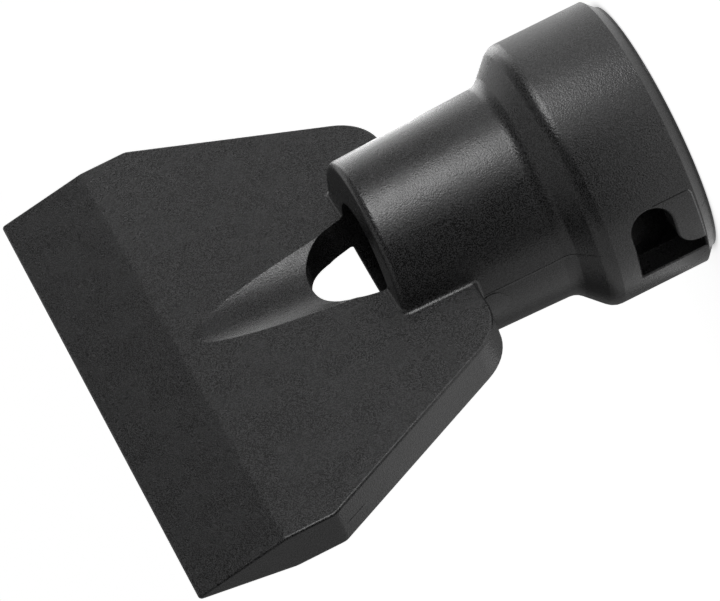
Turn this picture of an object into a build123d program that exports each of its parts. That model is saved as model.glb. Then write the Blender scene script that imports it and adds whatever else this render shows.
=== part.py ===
from build123d import *
import os
from math import cos, radians, sin, tan

# Scraper nozzle for a suction tube, moulded in one piece.
# It stands on the rim of its socket: +Z runs along the tube axis up to the scraping edge,
# X is across the blade, and the blade lies in the XZ plane.

# Overall form
overall_length = 94.8
blade_width = 96.6
blade_thickness = 6.0

# Blade outline, heights above the socket rim
blade_rear_height = 36.9
blade_rear_width = 56.6
taper_top_height = 72.1
rear_corner_radius = 10.0
side_corner_radius = 2.0
tip_corner_radius = 0.6

# Scraping edge, a wedge from both faces
bevel_length = 14.8
edge_land = 0.7
bevel_blend_radius = 4.0
blade_edge_radius = 0.4

# Tube and socket, outside
socket_diameter = 44.0
socket_height = 17.6
step_height = 4.4
step_blend_radius = 3.0
tube_front_height = 48.3
tube_front_diameter = 33.7
tube_draft_angle = 1.55
tube_front_draft_angle = 5.0
tube_rim_radius = 1.2
junction_radius = 0.8

# Rim of the socket
rim_land = 0.3
rim_chamfer_height = 1.7
rim_chamfer_depth = 1.8

# Suction passage
mating_tube_diameter = 35.0
socket_clearance = 0.2
socket_depth = 17.0
lead_in = 0.6
tube_wall = 2.8
mouth_diameter = 20.6
mouth_flare_angle = 14.6
nose_length = 9.6
nose_radius = 9.0

# Trough that leads the suction from the scraping edge into the mouth, one on each face
trough_radius = 17.5
trough_slope_angle = 4.95
trough_tip_height = 77.5

# Bayonet window in the socket wall, one on each side
window_count = 2
window_rim_height = 2.4
tongue_length = 3.9
tongue_radius = 3.6
pocket_width = 6.8
pocket_reach = 4.2
window_foot = 8.3
window_entry = 2.5
window_edge_break = 0.25

# How near a point has to be to a surface to count as on it
touch = 0.001

# Sizes that follow from the ones above
socket_radius = socket_diameter / 2
socket_bore_radius = mating_tube_diameter / 2 + socket_clearance
rim_radius = socket_radius - rim_chamfer_depth
rim_chamfer_top = rim_land + rim_chamfer_height
step_top = socket_height + step_height
tube_front_radius = tube_front_diameter / 2
tube_draft = tan(radians(tube_draft_angle))
front_draft = radians(tube_front_draft_angle)
tube_rear_radius = tube_front_radius + (tube_front_height - step_top) * tube_draft
face = blade_thickness / 2
bevel_height = overall_length - bevel_length
nose_height = tube_front_height + nose_length


def mirrored_outline(half):
    """Closed outline from the points of its right half, listed from the bottom up."""
    left = [(-x, z) for x, z in reversed(half)]
    return make_face(Polyline(*half, *left, close=True))


def corners_at(outline, height):
    """Vertices of an upright outline that lie at one height."""
    return [v for v in outline.vertices() if abs(v.Z - height) < touch]


def rim_edges(plate):
    """Edges round the blade's two faces, without the lines across the wedge."""
    off_middle = [e for e in plate.edges() if abs(e.center().Y) > edge_land]
    return [e for e in off_middle if abs(e.center().X) > edge_land or e.center().Z < taper_top_height]


def blade():
    """Flat blade: the wedge seen from the side, trimmed by the outline seen from the front."""
    wedge = Plane.YZ * mirrored_outline(
        [(face, blade_rear_height), (face, bevel_height), (edge_land / 2, overall_length)]
    )
    wedge = fillet(corners_at(wedge, bevel_height), bevel_blend_radius)
    outline = Plane.XZ * mirrored_outline(
        [
            (blade_rear_width / 2, blade_rear_height),
            (blade_width / 2, taper_top_height),
            (blade_width / 2, overall_length),
        ]
    )
    outline = fillet(corners_at(outline, blade_rear_height), rear_corner_radius)
    outline = fillet(corners_at(outline, taper_top_height), side_corner_radius)
    outline = fillet(corners_at(outline, overall_length), tip_corner_radius)
    plate = extrude(wedge, blade_width, both=True) & extrude(outline, blade_thickness, both=True)
    return fillet(rim_edges(plate), blade_edge_radius)


def turned(points, fillets):
    """Solid of revolution about Z from (radius, height) points, with rounded corners."""
    section = Plane.XZ * make_face(Polyline(*points, close=True))
    for (radius, height), size in fillets:
        corner = section.vertices().sort_by_distance((radius, 0, height))[0]
        section = fillet(corner, size)
    return revolve(section, Axis.Z)


def body():
    """Outside of the socket, the step and the drafted tube, whose front leans back from the blade."""
    step_foot = (socket_radius, socket_height)
    step_head = (tube_rear_radius, step_top)
    stock_height = tube_front_height + tube_front_radius
    stock_radius = tube_rear_radius - (stock_height - step_top) * tube_draft
    points = [
        (0, 0),
        (rim_radius, 0),
        (rim_radius, rim_land),
        (socket_radius, rim_chamfer_top),
        step_foot,
        step_head,
        (stock_radius, stock_height),
        (0, stock_height),
    ]
    stock = turned(points, [(step_foot, step_blend_radius), (step_head, step_blend_radius)])
    front = Plane(origin=(0, -face, tube_front_height), z_dir=(0, -sin(front_draft), cos(front_draft)))
    drafted = split(stock, front, keep=Keep.BOTTOM)
    drafted = fillet(drafted.faces().sort_by(Axis.Z)[-1].edges(), tube_rim_radius)
    half = split(drafted, Plane.XZ, keep=Keep.TOP)
    return half + half.mirror(Plane.XZ)


def passage():
    """Hollow of the part: socket bore, tube bore, flared mouth and its blunt round nose."""
    flare = tan(radians(mouth_flare_angle))
    mouth_radius = mouth_diameter / 2
    bore_radius = tube_rear_radius - tube_wall
    flare_foot = tube_front_height - (bore_radius - mouth_radius) / flare
    nose_edge_radius = mouth_radius - nose_length * flare
    points = [
        (0, 0),
        (socket_bore_radius + lead_in, 0),
        (socket_bore_radius, lead_in),
        (socket_bore_radius, socket_depth),
        (bore_radius, socket_depth),
        (bore_radius, flare_foot),
        (nose_edge_radius, nose_height),
        (0, nose_height),
    ]
    return turned(points, [((nose_edge_radius, nose_height), nose_radius)])


def trough():
    """Round-bottomed groove in one face, sloping down from its tip to the tube's front."""
    slope = radians(trough_slope_angle)
    run = (overall_length - tube_front_height) / cos(slope)
    tip = Vector(0, -face, trough_tip_height)
    down = Vector(0, sin(slope), -cos(slope))
    out = Vector(0, -cos(slope), -sin(slope))
    axis_plane = Plane(origin=tip + out * trough_radius, z_dir=down)
    groove = extrude(axis_plane * Circle(trough_radius), run, both=True)
    above_tube = Pos(0, 0, tube_front_height) * Box(
        blade_width, overall_length, overall_length, align=(Align.CENTER, Align.CENTER, Align.MIN)
    )
    return groove & above_tube


def window():
    """Hooked window through the socket wall, cut straight in from one side."""
    tongue_top = window_rim_height + tongue_length
    pocket_radius = pocket_width / 2
    pocket_top = tongue_top + pocket_width
    pocket_centre = pocket_radius - pocket_reach
    entry_side = window_foot - window_entry
    outline = make_face(
        [
            Polyline(
                (pocket_centre, pocket_top),
                (window_foot, pocket_top),
                (window_foot, window_rim_height),
                (entry_side, window_rim_height),
                (entry_side, tongue_top),
                (pocket_centre, tongue_top),
            ),
            ThreePointArc(
                (pocket_centre, tongue_top),
                (-pocket_reach, tongue_top + pocket_radius),
                (pocket_centre, pocket_top),
            ),
        ]
    )
    tongue_corner = outline.vertices().sort_by_distance((entry_side, tongue_top, 0))[0]
    outline = fillet(tongue_corner, tongue_radius)
    return extrude(Plane.YZ * outline, -2 * socket_radius)


def on_face(edge):
    """True for an edge that lies on one of the blade's flat faces."""
    return all(abs(abs(v.Y) - face) < touch for v in edge.vertices())


def junction_edges(shape):
    """Edges where the tube meets the blade's flat faces, along its sides and its front."""
    reach = tube_rear_radius + junction_radius
    return [
        e
        for e in shape.edges()
        if on_face(e)
        and abs(e.center().X) < reach
        and e.bounding_box().max.Z < tube_front_height + touch
        and e.bounding_box().min.Z > blade_rear_height - touch
        and e.bounding_box().max.Z > blade_rear_height + touch
    ]


def window_edges(shape):
    """Edges round the windows on the outside of the socket."""
    return [
        e
        for e in shape.edges()
        if e.bounding_box().min.Z > rim_chamfer_top
        and e.bounding_box().max.Z < socket_height - step_blend_radius
        and all(abs(Vector(v.X, v.Y, 0).length - socket_radius) < touch for v in e.vertices())
        and abs(e.center().X) > tube_rear_radius
    ]


def scraper_nozzle():
    """The whole moulding."""
    solid = blade() + body()
    solid = fillet(junction_edges(solid), junction_radius)
    solid -= [trough(), trough().mirror(Plane.XZ)]
    solid -= passage()
    solid -= [Rot(0, 0, i * 360 / window_count) * window() for i in range(window_count)]
    return chamfer(window_edges(solid), window_edge_break)


os.makedirs("parts", exist_ok=True)
export_step(scraper_nozzle(), "parts/scraper_nozzle.step")
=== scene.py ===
from math import ceil, cos, dist, hypot, pi, radians, sin, sqrt

import bpy
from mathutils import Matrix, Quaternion, Vector
from mathutils.bvhtree import BVHTree


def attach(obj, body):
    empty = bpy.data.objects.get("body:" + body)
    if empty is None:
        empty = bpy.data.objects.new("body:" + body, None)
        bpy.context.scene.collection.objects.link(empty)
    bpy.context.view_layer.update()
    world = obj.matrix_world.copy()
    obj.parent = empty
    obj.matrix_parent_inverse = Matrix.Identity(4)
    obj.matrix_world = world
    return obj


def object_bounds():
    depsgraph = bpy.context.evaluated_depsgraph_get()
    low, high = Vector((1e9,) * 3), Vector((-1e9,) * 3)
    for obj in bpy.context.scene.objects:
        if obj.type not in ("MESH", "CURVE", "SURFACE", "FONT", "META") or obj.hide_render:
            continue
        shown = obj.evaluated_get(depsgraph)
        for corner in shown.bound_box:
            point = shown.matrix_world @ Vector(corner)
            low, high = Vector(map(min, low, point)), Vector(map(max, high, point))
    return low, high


# Scraper nozzle moulded in charcoal plastic, on a white floor.
# Lengths are in metres and angles in degrees. Cards and lamps are placed by angles round +Z from +X.

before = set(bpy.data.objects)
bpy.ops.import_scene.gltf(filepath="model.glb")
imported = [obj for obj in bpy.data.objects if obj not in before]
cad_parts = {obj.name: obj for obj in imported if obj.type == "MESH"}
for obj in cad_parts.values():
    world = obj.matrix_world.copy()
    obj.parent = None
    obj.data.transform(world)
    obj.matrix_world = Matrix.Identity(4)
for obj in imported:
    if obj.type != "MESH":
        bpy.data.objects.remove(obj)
cad_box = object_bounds()
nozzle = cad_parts["scraper_nozzle"]
middle = (cad_box[0] + cad_box[1]) / 2

# Camera, on the photograph's line of sight
CAMERA_AIM = Vector((-0.0047, 0.0010, 0.0523))
CAMERA_DISTANCE = 0.680
CAMERA_AZIMUTH = -48.89
CAMERA_ELEVATION = 4.90
CAMERA_ROLL = -116.47
CAMERA_LENS_MM = 225.5
SENSOR_WIDTH_MM = 36.0

# Colours between which the specks of each plastic vary
PLASTIC_DARK = (0.001, 0.001, 0.00105, 1)
PLASTIC_LIGHT = (0.052, 0.052, 0.0533, 1)
MARK_DARK = (0.024, 0.024, 0.0246, 1)
MARK_LIGHT = (0.075, 0.075, 0.0768, 1)
# Painted highlight: the slide's foot line is made pale to show the lit edge of its step.
HIGHLIGHT_LINE_DARK = (0.25, 0.25, 0.255, 1)
HIGHLIGHT_LINE_LIGHT = (0.50, 0.50, 0.51, 1)
# Painted shade: the slide's side line is made near black to show the shadow in its step.
SHADE_LINE_LIGHT = (0.012, 0.012, 0.0124, 1)

# Surface of the plastic: specks in its colour, grain in its height, mottling in its roughness
SPECK_SIZE = 0.00017
SPECK_DETAIL = 1
GRAIN_SIZE = 0.00026
GRAIN_DETAIL = 2
GRAIN_DEPTH = 0.000050
MOTTLE_SIZE = 0.006
MOTTLE_DETAIL = 3
ROUGHNESS_LOW = 0.24
ROUGHNESS_HIGH = 0.28
NOISE_LOW = 0.44
NOISE_HIGH = 0.58
EDGE_RADIUS = 0.00020
PLASTIC_GLOSS = 0.5
# Weak gloss of the side line, which darkens it as part of its painted shade.
SHADE_LINE_GLOSS = 0.15

# Floor, with a painted shade under the socket, and world
FLOOR_REACH = 3.0
FLOOR_COLOUR = (0.80, 0.80, 0.80, 1)
FLOOR_GLOW = 0.85
SOCKET_SHADE_INSIDE = 0.0185
SOCKET_SHADE_OUTSIDE = 0.0215
WHITE = (1, 1, 1, 1)
AMBIENT = 0.20

# Cards round the part and over it, and the heights at which they start or meet
CARD_RADIUS = 0.45
CARD_HEIGHT = 0.60
CARD_LIFT = 0.0005
CARD_STEP = 4
RAISED_FOOT = 0.09
HIGH_FOOT = 0.12
BACK_SPLIT = 0.10
CEILING_SPLIT = 0.03

# Fine steps left where the mould's parts met, as routes of (Y, Z) points on the part's -X side.
# Each step is steep on the right of its route and runs out gently on the left.
PARTING_LINE = [(0.0003, 0.0366), (0.0002, 0.0253), (0, 0.0220), (0, 0.0178)]
RIM_LINE = [(-0.0001, 0.0018), (0, 0.0002)]
BLADE_LINE = [(0.0004, 0.0712), (0.0004, 0.0670)]
SLIDE_SIDE = [(-0.00455, 0.0088), (-0.0045, 0.0027)]
SLIDE_FOOT = [(-0.0045, 0.0027), (-0.0038, 0.0024), (0.0053, 0.0023)]
LINE_STEEP = 0.00015
LINE_GENTLE = 0.0005
SLIDE_GENTLE = 0.00015
LINE_HEIGHT = 0.00005
LINE_ROOT = 0.00002
LINE_EDGE_RADIUS = 0.00001

# Spacing of the places along a line, and how many of them its height takes to fade at an end
LINE_STEP = 0.0003
LINE_FADE = 2

# Round mark of a mould pin on the tube, on the same side, cut off beside the blade's rear edge
MARK_PLACE = (0.0032, 0.0354)
MARK_RADIUS = 0.0026
MARK_HEIGHT = 0.00003
MARK_ROOT = 0.00008
MARK_LIMIT = 0.0364
MARK_SPOKES = 32
MARK_RINGS = 4
MARK_SPOTS = 9
SHARP_ANGLE = 30

# Start of the rays that look for the part's surface
OUTSIDE = 0.1


def new_material(name):
    """Material with an empty node tree, its tree and its output node."""
    material = bpy.data.materials.new(name)
    material.use_nodes = True
    tree = material.node_tree
    tree.nodes.clear()
    return material, tree, tree.nodes.new("ShaderNodeOutputMaterial")


def noise(tree, coordinates, size, detail):
    """Noise with blobs of about that size."""
    node = tree.nodes.new("ShaderNodeTexNoise")
    node.inputs["Scale"].default_value = 1 / size
    node.inputs["Detail"].default_value = detail
    tree.links.new(coordinates, node.inputs["Vector"])
    return node.outputs["Fac"]


def spread(tree, value, low, high):
    """Map a noise's middle range on low to high."""
    node = tree.nodes.new("ShaderNodeMapRange")
    node.inputs["From Min"].default_value = NOISE_LOW
    node.inputs["From Max"].default_value = NOISE_HIGH
    node.inputs["To Min"].default_value = low
    node.inputs["To Max"].default_value = high
    tree.links.new(value, node.inputs["Value"])
    return node.outputs["Result"]


def plastic(name, dark, light, edge_radius=EDGE_RADIUS, gloss=PLASTIC_GLOSS):
    """Plastic from an eroded mould: fine matt grain with specks, slight mottling and softened edges."""
    material, tree, output = new_material(name)
    coordinates = tree.nodes.new("ShaderNodeTexCoord").outputs["Object"]
    shader = tree.nodes.new("ShaderNodeBsdfPrincipled")
    shader.inputs["Specular IOR Level"].default_value = gloss
    tree.links.new(shader.outputs["BSDF"], output.inputs["Surface"])

    specks = noise(tree, coordinates, SPECK_SIZE, SPECK_DETAIL)
    grain = noise(tree, coordinates, GRAIN_SIZE, GRAIN_DETAIL)
    mottle = noise(tree, coordinates, MOTTLE_SIZE, MOTTLE_DETAIL)

    colour = tree.nodes.new("ShaderNodeMix")
    colour.data_type = "RGBA"
    colour.inputs["A"].default_value = dark
    colour.inputs["B"].default_value = light
    tree.links.new(spread(tree, specks, 0, 1), colour.inputs["Factor"])
    tree.links.new(colour.outputs["Result"], shader.inputs["Base Color"])

    tree.links.new(spread(tree, mottle, ROUGHNESS_LOW, ROUGHNESS_HIGH), shader.inputs["Roughness"])

    edges = tree.nodes.new("ShaderNodeBevel")
    edges.inputs["Radius"].default_value = edge_radius
    bump = tree.nodes.new("ShaderNodeBump")
    bump.inputs["Distance"].default_value = GRAIN_DEPTH
    tree.links.new(edges.outputs["Normal"], bump.inputs["Normal"])
    tree.links.new(grain, bump.inputs["Height"])
    tree.links.new(bump.outputs["Normal"], shader.inputs["Normal"])
    return material


def seen_directly(tree):
    """1 for rays from the camera and from mirror-like or clear surfaces, 0 for the rest."""
    path = tree.nodes.new("ShaderNodeLightPath")
    total = path.outputs["Is Camera Ray"]
    for name in ("Is Glossy Ray", "Is Transmission Ray"):
        either = tree.nodes.new("ShaderNodeMath")
        either.operation = "MAXIMUM"
        tree.links.new(total, either.inputs[0])
        tree.links.new(path.outputs[name], either.inputs[1])
        total = either.outputs["Value"]
    return total


def floor_material():
    """White floor, with a painted shade where the socket stands on it."""
    material, tree, output = new_material("floor_white")
    matt = tree.nodes.new("ShaderNodeBsdfDiffuse")
    matt.inputs["Color"].default_value = FLOOR_COLOUR
    reach = tree.nodes.new("ShaderNodeVectorMath")
    reach.operation = "LENGTH"
    tree.links.new(tree.nodes.new("ShaderNodeTexCoord").outputs["Object"], reach.inputs[0])
    # Painted shade: the glow seen by the camera and in reflections fades out inside the socket's rim.
    glow_beyond_painted_shade = tree.nodes.new("ShaderNodeMapRange")
    glow_beyond_painted_shade.interpolation_type = "SMOOTHSTEP"
    glow_beyond_painted_shade.inputs["From Min"].default_value = SOCKET_SHADE_INSIDE
    glow_beyond_painted_shade.inputs["From Max"].default_value = SOCKET_SHADE_OUTSIDE
    glow_beyond_painted_shade.inputs["To Max"].default_value = FLOOR_GLOW
    tree.links.new(reach.outputs["Value"], glow_beyond_painted_shade.inputs["Value"])
    strength = tree.nodes.new("ShaderNodeMath")
    strength.operation = "MULTIPLY"
    tree.links.new(seen_directly(tree), strength.inputs[0])
    tree.links.new(glow_beyond_painted_shade.outputs["Result"], strength.inputs[1])
    glow = tree.nodes.new("ShaderNodeEmission")
    tree.links.new(strength.outputs["Value"], glow.inputs["Strength"])
    both = tree.nodes.new("ShaderNodeAddShader")
    tree.links.new(matt.outputs["BSDF"], both.inputs[0])
    tree.links.new(glow.outputs["Emission"], both.inputs[1])
    tree.links.new(both.outputs["Shader"], output.inputs["Surface"])
    return material


def card_material(name, brightness):
    """Even brightness of a card."""
    material, tree, output = new_material(name)
    glow = tree.nodes.new("ShaderNodeEmission")
    glow.inputs["Strength"].default_value = brightness
    tree.links.new(glow.outputs["Emission"], output.inputs["Surface"])
    return material


def add_mesh(name, points, faces, material):
    """Mesh object from points and faces, linked into the scene."""
    mesh = bpy.data.meshes.new(name)
    mesh.from_pydata(points, [], faces)
    mesh.materials.append(material)
    made = bpy.data.objects.new(name, mesh)
    bpy.context.scene.collection.objects.link(made)
    return made


def shifted(faces, count):
    """The same faces, for points that come after that many others."""
    return [tuple(i + count for i in face) for face in faces]


def add_piece(name, points, faces, material):
    """Piece of the moulding that rides with it, with a copy turned half a round about Z."""
    turned = [(-x, -y, z) for x, y, z in points]
    piece = add_mesh(name, points + turned, faces + shifted(faces, len(points)), material)
    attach(piece, "root")
    return piece


def on_side(surface, y, z):
    """Point and outward normal on the part's -X side."""
    place, normal, _, _ = surface.ray_cast(Vector((-OUTSIDE, y, z)), Vector((1, 0, 0)))
    return place, normal


def stations(route):
    """Evenly spaced places along a route of straight runs."""
    places = []
    for start, end in zip(route, route[1:]):
        steps = ceil(dist(start, end) / LINE_STEP)
        places += [[a + (b - a) * i / steps for a, b in zip(start, end)] for i in range(steps)]
    return places + [route[-1]]


def step_line(surface, route, gentle):
    """Points and faces of a fine step along a route.

    Three points lie across it at each place: its steep foot, its crest and its gentle foot.
    The feet lie below the part's surface, and the crest sinks to it at both ends.
    """
    places = [Vector(place) for place in stations(route)]
    last = len(places) - 1
    points = []
    for i, place in enumerate(places):
        along = (places[min(i + 1, last)] - places[max(i - 1, 0)]).normalized()
        right = Vector((along.y, -along.x))
        rise = min(1, i / LINE_FADE, (last - i) / LINE_FADE)
        across = ((LINE_STEEP, -LINE_ROOT), (0, LINE_HEIGHT * rise), (-gentle, -LINE_ROOT))
        for reach, lift in across:
            at, normal = on_side(surface, *(place + right * reach))
            points.append(tuple(at + normal * lift))
    row = len(across)
    faces = [(0, 2, 1), (row * last, row * last + 1, row * last + 2)]
    for i in range(last):
        for k in range(row):
            a = row * i + k
            b = row * i + (k + 1) % row
            faces.append((a, b, b + row, a + row))
    return points, faces


def add_mould_lines(name, surface, routes, gentle, material):
    """Piece with a fine step along each route."""
    points, faces = [], []
    for route in routes:
        line_points, line_faces = step_line(surface, route, gentle)
        faces += shifted(line_faces, len(points))
        points += line_points
    add_piece(name, points, faces, material)


def mark_reach(angle):
    """From the mark's middle to its edge, which is cut straight beside the blade."""
    to_blade = MARK_LIMIT - MARK_PLACE[1]
    return min(MARK_RADIUS, to_blade / sin(angle)) if sin(angle) > 0 else MARK_RADIUS


def tube_radius(surface, z):
    """Tube's radius at one height: the furthest of a few places across the mark."""
    steps = [2 * i / (MARK_SPOTS - 1) - 1 for i in range(MARK_SPOTS)]
    hits = [on_side(surface, MARK_PLACE[0] + MARK_RADIUS * step, z)[0] for step in steps]
    return max(hypot(hit.x, hit.y) for hit in hits)


def add_mark(surface, material):
    """Slightly raised round mark on the tube, closed below its surface."""
    foot, head = MARK_PLACE[1] - MARK_RADIUS, MARK_LIMIT
    foot_radius, head_radius = tube_radius(surface, foot), tube_radius(surface, head)

    def on_tube(angle, share, lift):
        reach = share * mark_reach(angle)
        y = MARK_PLACE[0] + reach * cos(angle)
        z = MARK_PLACE[1] + reach * sin(angle)
        radius = foot_radius + (head_radius - foot_radius) * (z - foot) / (head - foot) + lift
        return (-sqrt(radius**2 - y**2), y, z)

    rings = [((k + 1) / MARK_RINGS, MARK_HEIGHT) for k in range(MARK_RINGS)] + [(1, -MARK_ROOT)]
    angles = [2 * pi * i / MARK_SPOKES for i in range(MARK_SPOKES)]
    points = [on_tube(0, 0, MARK_HEIGHT)]
    points += [on_tube(angle, share, lift) for share, lift in rings for angle in angles]
    points.append(on_tube(0, 0, -MARK_ROOT))

    bottom = len(points) - 1
    last_ring = 1 + MARK_RINGS * MARK_SPOKES
    faces = []
    for i in range(MARK_SPOKES):
        j = (i + 1) % MARK_SPOKES
        faces.append((0, 1 + j, 1 + i))
        for k in range(MARK_RINGS):
            inner = 1 + k * MARK_SPOKES
            outer = inner + MARK_SPOKES
            faces.append((inner + i, inner + j, outer + j, outer + i))
        faces.append((bottom, last_ring + i, last_ring + j))
    mark = add_piece("mould_mark", points, faces, material)
    mark.data.shade_smooth()
    mark.data.set_sharp_from_angle(angle=radians(SHARP_ANGLE))


def add_floor():
    """Flat floor under the part."""
    r = FLOOR_REACH
    corners = [(-r, -r, 0), (r, -r, 0), (r, r, 0), (-r, r, 0)]
    floor = add_mesh("floor", corners, [(0, 1, 2, 3)], floor_material())


def only_reflected(card):
    """Show a card in reflections alone: it lights no matt surface and casts no shadow."""
    card.visible_camera = False
    card.visible_diffuse = False
    card.visible_transmission = False
    card.visible_shadow = False


def lying(inner, outer):
    """Profile of a card on the floor."""
    return [(inner, CARD_LIFT), (outer, CARD_LIFT)]


def upright(foot):
    """Profile of a card that stands round the part, from its foot to the full height."""
    return [(CARD_RADIUS, foot), (CARD_RADIUS, CARD_HEIGHT)]


def bent_up(inner, head):
    """Profile of a card that lies on the floor and then stands up round the part."""
    return lying(inner, CARD_RADIUS) + [(CARD_RADIUS, head)]


def add_card(name, span, brightness, profile):
    """Card bent round the part over a span of angles, with a profile of (radius, height) points."""
    start, end = span
    steps = max(1, round((end - start) / CARD_STEP))
    angles = [radians(start + (end - start) * i / steps) for i in range(steps + 1)]
    points = [(r * cos(a), r * sin(a), z) for r, z in profile for a in angles]
    row = len(angles)
    faces = [
        (k * row + i, k * row + i + 1, (k + 1) * row + i + 1, (k + 1) * row + i)
        for k in range(len(profile) - 1)
        for i in range(steps)
    ]
    only_reflected(add_mesh(name, points, faces, card_material(name, brightness)))


def add_ceiling(name, front, back, brightness):
    """Flat card over the part, between two places along Y."""
    r, z = CARD_RADIUS, CARD_HEIGHT
    corners = [(-r, front, z), (r, front, z), (r, back, z), (-r, back, z)]
    only_reflected(add_mesh(name, corners, [(0, 1, 2, 3)], card_material(name, brightness)))


def add_cards():
    """What the plastic reflects: the pale and dark sides of a studio in cards of even brightness, and a
    painted shadow round the socket's rim.
    """
    add_card("card_right", span=(16, 52), brightness=0.05, profile=upright(foot=RAISED_FOOT))
    right_floor = bent_up(inner=0.05, head=RAISED_FOOT)
    add_card("card_right_floor", span=(37, 52), brightness=0.05, profile=right_floor)
    add_card("card_far_top", span=(-22, 16), brightness=0.70, profile=upright(foot=HIGH_FOOT))
    add_card("card_face_top", span=(240, 292), brightness=0.10, profile=upright(foot=HIGH_FOOT))
    add_card("card_back", span=(52, 95), brightness=0.14, profile=bent_up(inner=0.045, head=BACK_SPLIT))
    # Painted shadow: a dim card on the floor round the socket's rim, which the chamfer reflects in place of
    # the floor's contact shade.
    add_card("card_rim_floor_shadow", span=(34, 145), brightness=0.30, profile=lying(inner=0.021, outer=0.045))
    add_card("card_near_floor", span=(-10, 34), brightness=0.80, profile=lying(inner=0.021, outer=0.20))
    add_card("card_back_top", span=(52, 95), brightness=0.03, profile=upright(foot=BACK_SPLIT))
    add_card("card_left", span=(95, 168), brightness=0.55, profile=bent_up(inner=0.11, head=CARD_HEIGHT))
    add_card("card_front", span=(168, 240), brightness=0.09, profile=bent_up(inner=0.085, head=CARD_HEIGHT))
    add_card("card_side", span=(292, 338), brightness=0.18, profile=upright(foot=RAISED_FOOT))
    add_card("card_side_floor", span=(286, 336), brightness=0.09, profile=lying(inner=0.22, outer=1.5))
    add_card("card_far_floor", span=(0, 34), brightness=4.0, profile=lying(inner=0.29, outer=CARD_RADIUS))
    add_ceiling("ceiling_front", front=-CARD_RADIUS, back=CEILING_SPLIT, brightness=0.45)
    add_ceiling("ceiling_back", front=CEILING_SPLIT, back=CARD_RADIUS, brightness=0.03)


def add_softbox(name, angle, distance, height, width, tall, radiance):
    """Rectangular soft lamp that faces the part."""
    lamp = bpy.data.lights.new(name, "AREA")
    lamp.shape = "RECTANGLE"
    lamp.size = width
    lamp.size_y = tall
    lamp.energy = radiance * pi * width * tall
    made = bpy.data.objects.new(name, lamp)
    made.location = (distance * cos(radians(angle)), distance * sin(radians(angle)), height)
    made.rotation_mode = "QUATERNION"
    made.rotation_quaternion = (middle - made.location).to_track_quat("-Z", "Y")
    made.visible_camera = False
    bpy.context.scene.collection.objects.link(made)


def add_lamps():
    """Two soft lamps: one before the blade's face, one far off on the lit side."""
    add_softbox("softbox_face", angle=273, distance=0.26, height=0.046, width=0.12, tall=0.088, radiance=6.9)
    add_softbox("softbox_side", angle=0, distance=0.55, height=0.065, width=0.40, tall=0.12, radiance=1.3)


def add_world():
    """Even ambient light, and a white background where it is seen directly."""
    world = bpy.data.worlds.new("studio")
    world.use_nodes = True
    tree = world.node_tree
    tree.nodes.clear()
    ambient = tree.nodes.new("ShaderNodeBackground")
    ambient.inputs["Color"].default_value = WHITE
    ambient.inputs["Strength"].default_value = AMBIENT
    white = tree.nodes.new("ShaderNodeBackground")
    white.inputs["Color"].default_value = WHITE
    mix = tree.nodes.new("ShaderNodeMixShader")
    output = tree.nodes.new("ShaderNodeOutputWorld")
    tree.links.new(seen_directly(tree), mix.inputs["Fac"])
    tree.links.new(ambient.outputs["Background"], mix.inputs[1])
    tree.links.new(white.outputs["Background"], mix.inputs[2])
    tree.links.new(mix.outputs["Shader"], output.inputs["Surface"])
    bpy.context.scene.world = world


def add_camera():
    """Camera on the photograph's line of sight, turned on its side as the photograph is."""
    azimuth, elevation = radians(CAMERA_AZIMUTH), radians(CAMERA_ELEVATION)
    back = Vector((sin(azimuth) * cos(elevation), -cos(azimuth) * cos(elevation), sin(elevation)))
    roll = Quaternion((0, 0, 1), radians(CAMERA_ROLL))
    camera = bpy.data.cameras.new("camera")
    camera.sensor_fit = "HORIZONTAL"
    camera.sensor_width = SENSOR_WIDTH_MM
    camera.lens = CAMERA_LENS_MM
    made = bpy.data.objects.new("camera", camera)
    made.location = CAMERA_AIM + back * CAMERA_DISTANCE
    made.rotation_mode = "QUATERNION"
    made.rotation_quaternion = (-back).to_track_quat("-Z", "Y") @ roll
    bpy.context.scene.collection.objects.link(made)
    bpy.context.scene.camera = made


# Plastic of the moulding, of its lines and of its mark
charcoal = plastic("charcoal_plastic", PLASTIC_DARK, PLASTIC_LIGHT)
line_plastic = plastic("line_plastic", PLASTIC_DARK, PLASTIC_LIGHT, LINE_EDGE_RADIUS)
# Pale plastic for the slide's foot line, whose colour is a painted highlight.
painted_highlight_plastic = plastic("painted_highlight_plastic", HIGHLIGHT_LINE_DARK, HIGHLIGHT_LINE_LIGHT, LINE_EDGE_RADIUS)
# Near-black plastic for the slide's side line, whose colour is a painted shade.
painted_shade_plastic = plastic("painted_shade_plastic", PLASTIC_DARK, SHADE_LINE_LIGHT, LINE_EDGE_RADIUS, SHADE_LINE_GLOSS)
mark_plastic = plastic("mark_plastic", MARK_DARK, MARK_LIGHT)

# The moulding with its mould marks
nozzle.data.materials.clear()
nozzle.data.materials.append(charcoal)
surface = BVHTree.FromObject(nozzle, bpy.context.evaluated_depsgraph_get())
add_mould_lines("parting_lines", surface, [PARTING_LINE, RIM_LINE, BLADE_LINE], LINE_GENTLE, line_plastic)
# Slide's side line: a real step, with a painted shade in its near-black plastic.
add_mould_lines("slide_side_lines", surface, [SLIDE_SIDE], SLIDE_GENTLE, painted_shade_plastic)
# Slide's foot line: a real step, with a painted highlight in its pale plastic.
add_mould_lines("slide_foot_lines", surface, [SLIDE_FOOT], SLIDE_GENTLE, painted_highlight_plastic)
add_mark(surface, mark_plastic)

# The studio
add_floor()
add_cards()
add_lamps()
add_world()
add_camera()
bpy.context.scene.view_settings.view_transform = "Standard"
